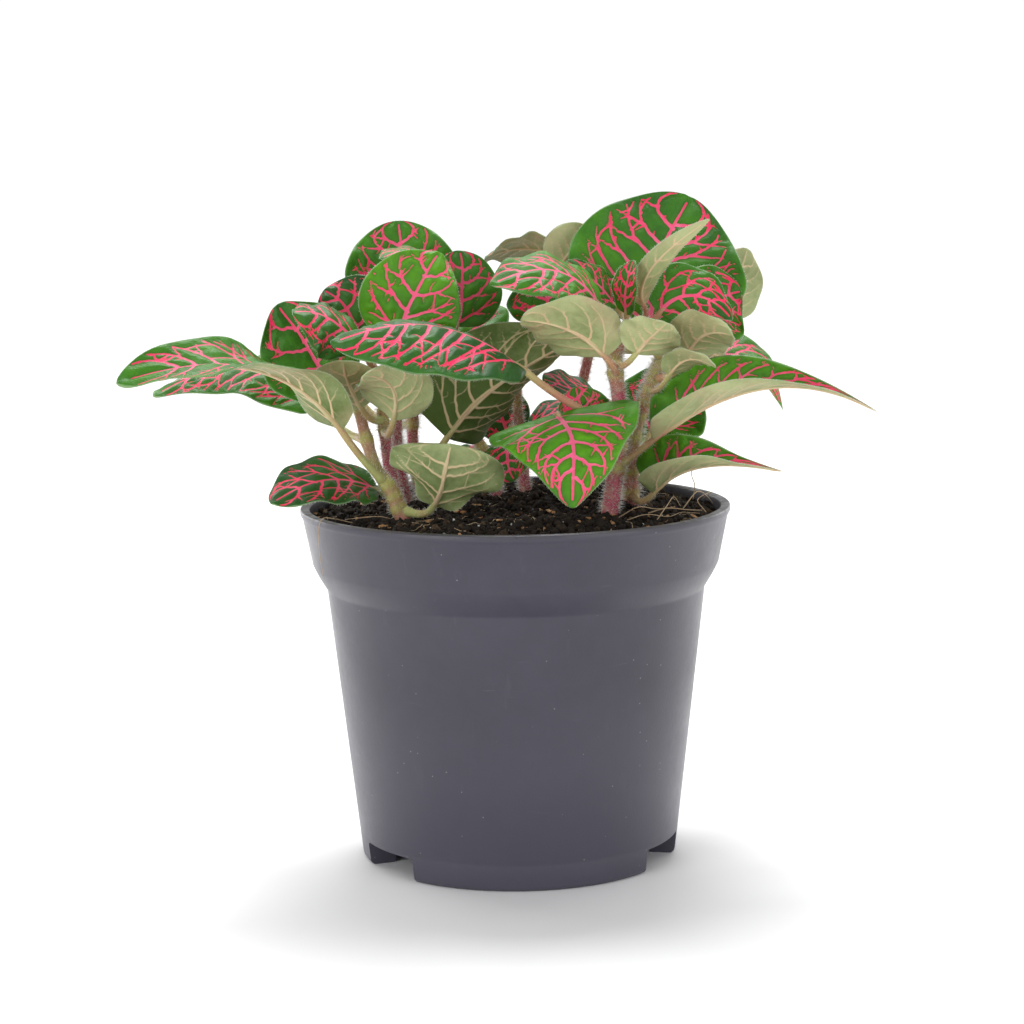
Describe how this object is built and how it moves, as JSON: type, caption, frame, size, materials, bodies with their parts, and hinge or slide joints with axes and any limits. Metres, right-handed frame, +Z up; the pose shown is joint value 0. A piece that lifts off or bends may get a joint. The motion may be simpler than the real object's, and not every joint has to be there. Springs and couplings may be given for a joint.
{
  "type": "potted nerve plant",
  "caption": "Low leafy nerve plant with broad oval leaves netted by pink veins, growing on hairy shoots in soil in a round tapered plastic nursery pot.",
  "frame": {"origin": "on the pot's axis, at the underside of its base, where it rests", "axes": "+Z up along the pot's axis; -Y is the plant's front, the side with the two low drooping leaves; +X is to the right seen from the front"},
  "size_m": [0.2075, 0.1387, 0.1846],
  "materials": {
    "pot_plastic": "satin moulded plastic with faint scuffs",
    "peat": null,
    "shoot": null,
    "blade": null
  },
  "bodies": {
    "root": {"pot": "pot_plastic", "soil": "peat", "stem_left": "shoot", "stem_left_inner": "shoot", "stem_left_hairy": "shoot", "stem_left_back": "shoot", "stem_centre": "shoot", "stem_centre_right": "shoot", "stem_right": "shoot", "stem_right_second": "shoot", "stem_back": "shoot", "leaf_left_long": "blade", "leaf_left_under": "blade", "leaf_left_low": "blade", "leaf_left_round": "blade", "leaf_left_folded": "blade", "leaf_left_dark": "blade", "leaf_left_tall": "blade", "leaf_left_sliver": "blade", "leaf_left_front": "blade", "leaf_left_right": "blade", "leaf_arched": "blade", "leaf_pale_a": "blade", "leaf_pale_b": "blade", "leaf_under_big": "blade", "leaf_front_pale": "blade", "leaf_front_bright": "blade", "leaf_mid_low": "blade", "leaf_mid_dark": "blade", "leaf_mid_striped": "blade", "leaf_mid_small": "blade", "leaf_mid_shade": "blade", "leaf_top_arc": "blade", "leaf_top_back": "blade", "leaf_top_green": "blade", "leaf_top_strip": "blade", "leaf_mid_hot": "blade", "leaf_crown_big": "blade", "leaf_crown_curl": "blade", "leaf_crown_wing": "blade", "leaf_crown_fold": "blade", "leaf_crown_right": "blade", "leaf_crown_under_right": "blade", "leaf_crown_under_left": "blade", "leaf_crown_under_mid": "blade", "leaf_crown_olive": "blade", "leaf_right_bud": "blade", "leaf_right_upper": "blade", "leaf_right_long": "blade", "leaf_right_behind": "blade", "leaf_right_low": "blade", "leaf_right_olive": "blade", "leaf_back_left": "blade", "leaf_back_left_low": "blade", "leaf_back_middle": "blade", "leaf_back_top": "blade", "leaf_back_right_low": "blade", "leaf_back_right": "blade", "leaf_back_high": "blade", "leaf_back_inner": "blade"}
  },
  "joints": []
}
